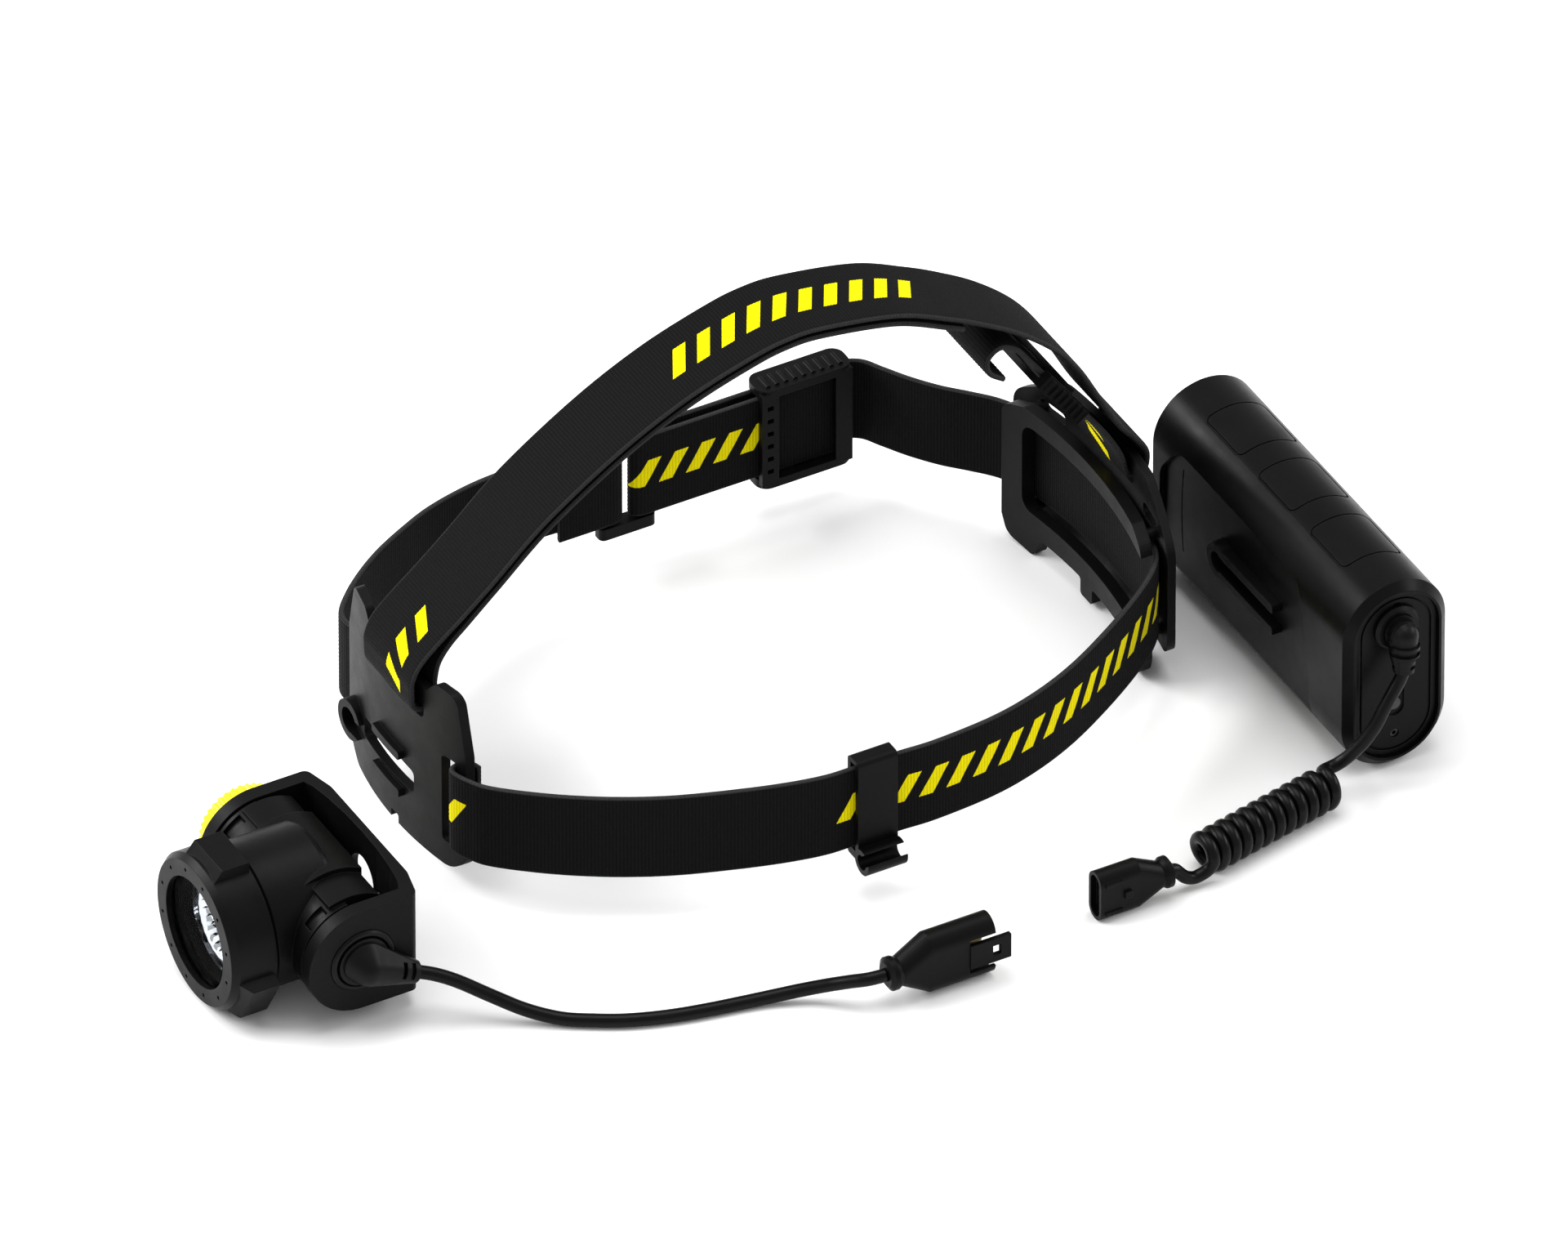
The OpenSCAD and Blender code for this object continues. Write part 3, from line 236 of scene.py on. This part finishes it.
def webbing(name, runs):
    """Woven band. Its UV map holds metres along the band and across it, the inner face INNER_V further across.

    A run of slanted dashes is (first left edge, number, pitch, width, slant per mm across, from, to), in mm.
    """
    look = Look(name, Specular_IOR_Level=0.05, Sheen_Weight=0.02, Sheen_Roughness=0.4)
    uv = look.node("ShaderNodeSeparateXYZ", {0: look.node("ShaderNodeUVMap", uv_map="weave").outputs[0]})
    along = look.maths("MULTIPLY", uv.outputs[0], 1000.0)
    across = look.maths("MULTIPLY", uv.outputs[1], 1000.0)
    yellow = 0.0
    for first, count, pitch, width, slant, low, high in runs:
        lean = look.maths("MULTIPLY_ADD", look.maths("SUBTRACT", across, low), slant, first)
        x = look.maths("SUBTRACT", along, lean)
        on = look.maths("LESS_THAN", look.maths("FLOORED_MODULO", x, pitch), width)
        for op, value, edge in (("GREATER_THAN", x, 0.0), ("LESS_THAN", x, count * pitch),
                                ("GREATER_THAN", across, low), ("LESS_THAN", across, high)):
            on = look.maths("MULTIPLY", on, look.maths(op, value, edge))
        yellow = look.maths("MAXIMUM", yellow, on)
    # yarns: warp cords along the band, weft picks across it, with painted light and shade: each yarn's colour
    # is lighter where the weave stands up
    warp = look.maths("SINE", look.maths("MULTIPLY", across, 2 * math.pi / WARP_PITCH))
    shift = look.maths("MULTIPLY", look.maths("SIGN", warp), math.pi / 2)
    weft = look.maths("SINE", look.maths("MULTIPLY_ADD", along, 2 * math.pi / WEFT_PITCH, shift))
    yarn = look.maths("MULTIPLY", warp, weft)
    folded = look.maths("FLOORED_MODULO", across, INNER_V)
    rim = look.maths("ABSOLUTE", look.maths("SUBTRACT", folded, STRAP_W / 2))
    selvedge = look.ramp(rim, STRAP_W / 2 - SELVEDGE[0], STRAP_W / 2 - SELVEDGE[1])
    fuzz = look.noise(2600, 3, 0.7)
    # painted light and shade on the black yarns: lighter where the weave stands out, darker where it sinks
    black = look.blend(look.ramp(yarn, -1.0, 1.0), grey(0.0018), grey(0.0065))
    frayed = look.maths("MULTIPLY", selvedge, look.ramp(fuzz, 0.3, 0.6, (0.5, 1.0)))
    black = look.blend(frayed, black, grey(0.03))
    # painted light and shade on the yellow yarns, in the same way
    gold = look.blend(look.ramp(yarn, -1.0, 1.0), (0.66, 0.55, 0.0, 1), (0.93, 0.83, 0.0, 1))
    height = look.maths("ADD", yarn, look.maths("MULTIPLY", fuzz, 0.9))
    gloss = look.ramp(fuzz, 0.3, 0.7, (0.62, 0.82))
    return look.finish(look.blend(yellow, black, gold), gloss, look.bump(height, 0.05 * MM))


def pale_floor(name):
    look = Look(name)
    tone = look.blend(look.noise(3, 2), (0.86, 0.86, 0.86, 1), (0.88, 0.88, 0.88, 1))
    return look.finish(tone, 0.9)


# pitch, width, slant per mm across, from and to
DASH = 7.85, 3.9, 0.6, 9.3, 17.3
TOP_DASH = 7.35, 3.8, -0.57, 8.0, 16.8
FRONT_DASH = 7.5, 3.8, -0.57, 12.5, 19.5
BLACK = 0.0022
# each material: the function that makes it, and its settings after the name
RECIPES = {
    "webbing_long": (webbing, [(-1.5, 2, *DASH), (109.7, 18, *DASH), (420.6, 5, *DASH)]),
    "webbing_short": (webbing, [(13.0, 5, *DASH)]),
    "webbing_top": (webbing, [(197.3, 3, *FRONT_DASH), (305.6, 10, *TOP_DASH), (481.2, 4, *TOP_DASH)]),
    "black_plastic": (moulded, grey(BLACK), grey(0.014), 0.4),
    "grained_plastic": (moulded, grey(0.0025), grey(0.014), 0.44, 2400, 0.035),
    "housing_plastic": (moulded, grey(BLACK), grey(0.014), 0.36, 3600, 0.02, 0.3),
    "case_plastic": (moulded, grey(0.002), grey(0.01), 0.34, 2800, 0.02, 0.35),
    "soft_rubber": (rubber, 0.0018, 0.42),
    "cord_jacket": (rubber, 0.0018, 0.32),
    "plug_plastic": (moulded, grey(0.002), grey(0.012), 0.36, 3600, 0.02, 0.25),
    "signal_yellow": (moulded, (0.84, 0.72, 0.0, 1), (0.88, 0.78, 0.01, 1), 0.42, 2600, 0.02, 0.15, 0.4),
    "clear_window": (clear, (0.97, 0.985, 1.0, 1), 0.0, 1.02),
    "lens_plastic": (clear, (0.9, 0.92, 0.95, 1), 0.03, 1.46, 0.65),
    "carrier_plastic": (moulded, grey(0.01), grey(0.04), 0.35),
    "steel": (metal, (0.6, 0.61, 0.63, 1), 0.3),
    "aluminium": (metal, (0.8, 0.81, 0.83, 1), 0.3),
    "brass_contacts": (metal, (0.78, 0.6, 0.28, 1), 0.28),
    "circuit_board": (circuit_board,),
    "led_phosphor": (moulded, (0.8, 0.62, 0.12, 1), (0.85, 0.7, 0.2, 1), 0.5, 5200, 0.02, 0.05),
    "cell_wrap": (wrap, (0.03, 0.14, 0.42, 1)),
    "status_plastic": (moulded, grey(0.05), grey(0.09), 0.4, 3000, 0.015, 0.15),
    "blackened_steel": (metal, (0.05, 0.05, 0.052, 1), 0.38),
    "light_plastic": (moulded, grey(0.45), grey(0.55), 0.4, 3000, 0.015, 0.15),
}
LOOKS = {name: make(name, *settings) for name, (make, *settings) in RECIPES.items()}

NODE_LOOKS = {
    "black_plastic": ["strap_ring", "size_buckle", "top_slider", "cable_clip", "rear_frame"],
    "grained_plastic": ["front_plate", "rear_plate", "lamp_bracket"],
    "housing_plastic": ["head_housing", "head_rear_cover", "focus_bezel", "power_button"],
    "case_plastic": ["battery_case", "battery_end_cap", "belt_rail"],
    "soft_rubber": ["gland_ring", "housing_seal", "window_seal", "end_cap_seal", "pack_gland", "lamp_elbow",
                    "pack_elbow"],
    "plug_plastic": ["lamp_plug", "lamp_plug_collar", "pack_plug", "pack_plug_collar"],
    "signal_yellow": ["dimmer_knob"],
    "carrier_plastic": ["lens_carrier", "dimmer_encoder"],
    "steel": ["friction_washers", "knob_shaft", "button_spring", "contact_strips"],
    "blackened_steel": ["bracket_screws", "cover_screws", "end_cap_screws"],
    "aluminium": ["heat_sink"],
    "brass_contacts": ["lamp_plug_pins", "pack_plug_sockets"],
    "circuit_board": ["led_board", "driver_board", "charge_board"],
    "led_phosphor": ["led_emitter"],
    "cell_wrap": ["cell_lower", "cell_upper"],
    "light_plastic": ["cell_spacer"],
    "status_plastic": ["status_light"],
}


def dress_nodes():
    for look_name, names in NODE_LOOKS.items():
        for name in names:
            node = nodes[name]
            if not node.material_slots:
                node.data.materials.append(None)
            for place in node.material_slots:
                place.material = LOOKS[look_name]


dress_nodes()


# --- Pieces ---------------------------------------------------------------------------------------
def between(a, b, c, d, t):
    """The point at share t of the way from b to c, on the smooth curve through a, b, c and d."""
    return 0.5 * (2 * b + (c - a) * t + (2 * a - 5 * b + 4 * c - d) * t * t + (3 * b - a - 3 * c + d) * t ** 3)


def smooth(points, n):
    """The smooth curve through the points, n steps from each to the next."""
    p = np.array(points, float)
    last = len(p) - 1
    made = []
    for i in range(last):
        near = p[max(i - 1, 0)], p[i], p[i + 1], p[min(i + 2, last)]
        made += [between(*near, k / n) for k in range(n)]
    return np.array(made + [p[last]])


def even(points, step):
    """The same line with points a step apart, and how far along it each one is."""
    run = np.r_[0, np.cumsum(np.linalg.norm(np.diff(points, axis=0), axis=1))]
    s = np.linspace(0, run[-1], int(round(run[-1] / step)) + 1)
    return np.c_[[np.interp(s, run, points[:, k]) for k in range(points.shape[1])]].T, s


def piece(name, verts, faces, look, body):
    mesh = bpy.data.meshes.new(name)
    mesh.from_pydata(verts, [], faces)
    mesh.materials.append(LOOKS[look])
    mesh.update()
    mesh.shade_smooth()
    made = bpy.data.objects.new(name, mesh)
    bpy.context.collection.objects.link(made)
    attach(made, body)
    return made


def turn_faces_out(made):
    bm = bmesh.new()
    bm.from_mesh(made.data)
    bmesh.ops.recalc_face_normals(bm, faces=bm.faces)
    bm.to_mesh(made.data)
    bm.free()


STEPS = 12               # points from each point of a route to the next, on its smooth curve
ALONG = 0.45             # step of the mesh along a band
ACROSS = 0.625           # and across it
RIM = 0, 0.12, 0.4       # the columns next to each edge, where the band rounds off
RIM_POWER = 60           # the higher, the closer to the edge the rounding starts
RELIEF = 0.05            # how far the weave stands in and out


def strap(name, route, upright, look, node):
    """A woven band along a flat route.

    An upright band stands on edge and its route is in x and y. Otherwise it lies across x, and the route is in
    y and z.
    """
    line, s = even(smooth(route, STEPS), ALONG)
    t = np.gradient(line, axis=0)
    t /= np.linalg.norm(t, axis=1)[:, None]
    out = np.c_[t[:, 1], -t[:, 0]] * (1 if upright else -1)
    half = STRAP_T / 2
    middle = np.arange(ACROSS * 1.5, STRAP_W - ACROSS * 1.4, ACROSS)
    w = np.r_[RIM, middle, STRAP_W - np.array(RIM[::-1])]
    fall = np.clip(1 - np.abs(2 * w / STRAP_W - 1) ** RIM_POWER, 0, 1) ** 0.5
    column = np.arange(len(w))
    inner = (column >= len(RIM)) & (column < len(w) - len(RIM))
    rows, uvs = [], []
    for i in range(len(s)):
        weave = RELIEF * np.where((i + column) % 2 == 0, 1, -1) * inner
        thick = (half - RELIEF) * fall + weave
        ring = [(w[j], thick[j], w[j]) for j in range(len(w))]
        ring += [(w[j], -thick[j], w[j] + INNER_V) for j in range(len(w) - 2, 0, -1)]
        for across, off, v in ring:
            q = line[i] + out[i] * off
            if upright:
                at = (RING.x + q[0] * MM, RING.y + q[1] * MM, (STRAP_Z + across) * MM)
            else:
                at = (RING.x + (across - STRAP_W / 2) * MM, RING.y + q[0] * MM, q[1] * MM)
            rows.append(at)
            uvs.append((s[i] * MM, v * MM))
    n = len(w) * 2 - 2
    faces = [(i * n + k, i * n + (k + 1) % n, (i + 1) * n + (k + 1) % n, (i + 1) * n + k)
             for i in range(len(s) - 1) for k in range(n)]
    faces += [tuple(range(n - 1, -1, -1)), tuple((len(s) - 1) * n + k for k in range(n))]
    made = piece(name, rows, faces, look, "headband")
    layer = made.data.uv_layers.new(name="weave")
    index = np.zeros(len(made.data.loops), np.int32)
    made.data.loops.foreach_get("vertex_index", index)
    layer.data.foreach_set("uv", np.array(uvs, np.float32)[index].ravel())
    turn_faces_out(made)
    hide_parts(node)


# The straps' routes start from the middle of the head opening: the two round the head in x and y, and the one
# over the crown in y and z. OUTER and INNER are where the long strap's layers run through the size buckle.
OUTER = -74.8
INNER = -71.2
HEAD_ROUTE = [
    (28.8, -97.7), (26.8, -98.4), (25.4, -100.4), (25.3, -102.8), (26.7, -104.3), (29.2, -104),
    (32.6, -102.6), (37, -99.9), (43, -93.5), (50, -84.5), (57, -73.5),
    (63, -61.5), (68, -48), (72, -35), (74.3, -24), (74.6, -15), (74.6, -3), (75, 8), (73.6, 25),
    (70.2, 39), (64.5, 53), (56, 68), (47, 81.5), (39.5, 90.5), (33, 94.8), (24, 96.6), (12, 98),
    (0, 98.5), (-12, 98), (-24, 96.6), (-34, 94.4), (-41, 91), (-47, 86), (-53, 80.5), (-60, 75.5),
    (-67, 71.5), (-72.2, 68.5), (-74.6, 64), (OUTER, 58), (OUTER, 12), (OUTER, 5), (-74.4, 2.7),
    (-73, 1.8), (-71.6, 2.7), (INNER, 5), (INNER, 12), (INNER, 47), (INNER, 59)]
SIDE_ROUTE = [
    (-42, -89.5), (-36, -91.3), (-30, -91.8), (-25.6, -92.2), (-24.2, -94.4), (-25.6, -96.6),
    (-29, -97), (-34, -96.8), (-39.5, -98.2), (-44.5, -97.2), (-50.5, -92), (-56.5, -85), (-62, -77),
    (-67, -67.5), (-71.5, -57), (-74.6, -44), (-75.6, -32), (-75.4, -22), (-74.9, -12), (-74.6, -5),
    (-74.2, -2.6), (-73, -1.6), (-71.8, -2.6), (-71.4, -5), (-71.3, -12), (-71.3, -20)]
TOP_ROUTE = [
    (51, 110.8), (46, 113.2), (31.3, 119.7), (10.7, 123.6), (0.2, 123.8), (-10.3, 121.7),
    (-28.1, 115.8), (-46.8, 106.4), (-67.5, 92.5), (-82.9, 78.6), (-91.6, 70.6), (-96.6, 66),
    (-99.8, 61.5), (-101, 56.5), (-101.3, 51.6), (-103, 48.8), (-105.8, 48.7), (-107.3, 50.4),
    (-107.6, 54.4), (-107.5, 57.4), (-105.6, 61.8), (-100.8, 66.6), (-93.5, 72.6),
    (-84.5, 80.4), (-69, 94.4), (-48, 108.5), (-29, 118), (-11, 124), (0, 126.2), (11, 126),
    (32, 122), (47, 115.4), (57, 110), (67, 103.6), (77, 95), (84, 86), (90, 75), (96, 64),
    (100.4, 58.5), (103.8, 53.5), (104.2, 49.5), (103.2, 47), (101, 46.2), (98.8, 47), (97.8, 50),
    (96.2, 55), (92, 62.6), (86.5, 70.4), (70.5, 92.9), (66.2, 98.6), (61.6, 101), (58, 98.6),
    (58.4, 94.2), (62.6, 90.8)]


def handles(points):
    """The way from each point to its handle further along the curve."""
    p = np.array(points, float)
    ends = [p[0], *p, p[-1]]
    return [(ends[i + 2] - ends[i]) / 6 for i in range(len(p))]


def cord(name, points, diameter, body, replaced):
    """A round cord as one Bezier curve through points in mm."""
    data = bpy.data.curves.new(name, "CURVE")
    data.dimensions = "3D"
    data.bevel_depth = diameter / 2 * MM
    data.bevel_resolution = 4
    data.resolution_u = 6
    data.use_fill_caps = True
    spline = data.splines.new("BEZIER")
    spline.bezier_points.add(len(points) - 1)
    for knot, at, way in zip(spline.bezier_points, points, handles(points)):
        knot.co = Vector(at) * MM
        knot.handle_left = (Vector(at) - Vector(way)) * MM
        knot.handle_right = (Vector(at) + Vector(way)) * MM
    data.materials.append(LOOKS["cord_jacket"])
    made = bpy.data.objects.new(name, data)
    bpy.context.collection.objects.link(made)
    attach(made, body)
    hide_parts(*replaced)
    fine = smooth(points, STEPS)


LAMP_CORD = [
    (55.2, -117, 13), (57.6, -112.6, 12), (61, -108, 10.4), (66.2, -101.5, 7), (72, -94.6, 3.8),
    (77.5, -87.5, 2.1), (82, -80.5, 1.9), (85.6, -74, 1.9), (88.4, -67, 1.9), (90.5, -60, 1.9),
    (92.2, -52.5, 1.9), (93.6, -45, 1.9), (95.4, -37.5, 2.3), (98.2, -30.5, 3.6), (102, -24.5, 5.6),
    (105.8, -20, 7.6), (108.4, -16.6, 8.8), (109.3, -12.2, 9.1)]
PACK_LEAD = [
    (91, 147.4, 33.4), (91.2, 146, 30.8), (91.5, 143.6, 27.4), (91.8, 141.2, 23.8), (92, 138.7, 19.7),
    (91.4, 135.9, 15.6), (90.8, 134.4, 13.7), (90.2, 132.9, 11.9), (89.5, 131.4, 10.3), (88.8, 129.6, 8.9),
    (88.4, 127.6, 8.2), (88.9, 125.7, 8.4), (90.3, 124.6, 9.3)]
PACK_TAIL = [
    (105.4, 83.4, 4.6), (105.3, 82.3, 3.7), (105.2, 80.7, 3.1), (105.2, 79.1, 2.9), (105.1, 77.6, 3.3),
    (105, 76.2, 4.2), (104.7, 75.1, 5.4), (104.4, 74, 6.6), (104.4, 72.4, 7.2)]
# The curly cord's axis runs from the first of these to the second.
COIL_FROM = np.array((92.4, 124.4, 6.0))
COIL_TO = np.array((101.5, 83.4, 6.0))
COIL_R = 4.2
TURNS = 11.25
PER_TURN = 20
LAMP_CORD_D = 3.6
PACK_CORD_D = 3.5


def coil():
    run = COIL_TO - COIL_FROM
    up = np.array((0, 0, 1.0))
    side = np.cross(up, run / np.linalg.norm(run))
    count = int(TURNS * PER_TURN)
    made = []
    for k in range(count + 1):
        a = 2 * math.pi * TURNS * k / count
        made.append(COIL_FROM + run * k / count + COIL_R * (math.cos(a) * up + math.sin(a) * side))
    return made


cord("lamp_lead", LAMP_CORD, LAMP_CORD_D, "lamp_bracket", ["lamp_cord"])
cord("battery_lead", PACK_LEAD + coil() + PACK_TAIL, PACK_CORD_D, "battery",
     ["pack_lead", "curly_cord", "curly_tail"])

strap("long_strap", HEAD_ROUTE, True, "webbing_long", "head_strap")
strap("short_strap", SIDE_ROUTE, True, "webbing_short", "side_strap")
strap("crown_strap", TOP_ROUTE, False, "webbing_top", "top_strap")


def turned(name, profile, look, body, node, segments):
    """A shape turned about the lens axis. The profile's points are (radius, y, depth of its flutes) in mm."""
    verts = []
    rings = []
    for radius, y, flute in profile:
        first = len(verts)
        if radius == 0:
            verts.append((OPTIC.x, OPTIC.y + y * MM, OPTIC.z))
            rings.append([first])
            continue
        for k in range(segments):
            angle = 2 * math.pi * k / segments
            r = (radius - flute * (k % 2)) * MM
            verts.append((OPTIC.x + r * math.sin(angle), OPTIC.y + y * MM, OPTIC.z + r * math.cos(angle)))
        rings.append(list(range(first, len(verts))))
    faces = []
    for near, far in zip(rings, rings[1:]):
        for i in range(segments):
            j = (i + 1) % segments
            if len(near) == 1:
                faces.append((near[0], far[j], far[i]))
            elif len(far) == 1:
                faces.append((near[i], near[j], far[0]))
            else:
                faces.append((near[i], near[j], far[j], far[i]))
    made = piece(name, verts, faces, look, body)
    made.data.set_sharp_from_angle(angle=math.radians(28))
    turn_faces_out(made)
    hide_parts(node)


PANE = [
    (0, -30.5, 0), (16.9, -30.5, 0), (17.35, -30.1, 0), (17.4, -29.7, 0), (17.4, -29.0, 0),
    (17.1, -28.85, 0), (0, -28.85, 0)]
# The front is hollow and fluted, then come the flange and the fluted back, with a well for the emitter.
LENS = [
    (0, -18.6, 0), (1.5, -18.7, 0.2), (3, -19.2, 0.5), (6, -20.8, 1.0), (9, -22.8, 1.3), (11.2, -24.4, 1.0),
    (12, -24.9, 0.2), (13.6, -25.1, 0), (14.15, -24.8, 0), (14.15, -21.2, 0), (13.4, -21, 0),
    (12.6, -18.8, 0.9), (11.8, -16.8, 1.0), (10.7, -14.8, 1.0), (9.4, -13, 0.9), (7.8, -11.4, 0.6),
    (5.8, -10.1, 0.1), (3, -10.1, 0), (2.9, -13.4, 0), (1.6, -13.9, 0), (0, -14.1, 0)]
turned("window_pane", PANE, "clear_window", "focus_bezel", "front_window", 96)
turned("optic", LENS, "lens_plastic", "lens_carrier", "focus_lens", 56)


# --- Studio ---------------------------------------------------------------------------------------
def studio():
    mesh = bpy.data.meshes.new("floor")
    corners = [(x * FLOOR_REACH, y * FLOOR_REACH, 0) for x, y in ((-1, -1), (1, -1), (1, 1), (-1, 1))]
    mesh.from_pydata(corners, [], [(0, 1, 2, 3)])
    mesh.materials.append(pale_floor("floor"))
    floor = bpy.data.objects.new("floor", mesh)
    bpy.context.collection.objects.link(floor)
    world = bpy.data.worlds.new("studio")
    bpy.context.scene.world = world
    world.use_nodes = True
    sky = world.node_tree.nodes["Background"]
    sky.inputs["Color"].default_value = (1, 1, 1, 1)
    sky.inputs["Strength"].default_value = WORLD_STRENGTH
    area("key", (-0.9, -1.5, 1.3), (1.2, 0.8), 36)
    area("edge", (-1.3, -0.85, 0.9), (0.5, 0.25), 12, (0.03, 0.14, 0.05))
    area("rim", (0.5, 1.9, 1.1), (1.6, 0.5), 22)
    area("top", (-0.2, 0.1, 2.2), (1.6, 1.6), 30)
    bpy.context.scene.view_settings.view_transform = "Standard"


studio()
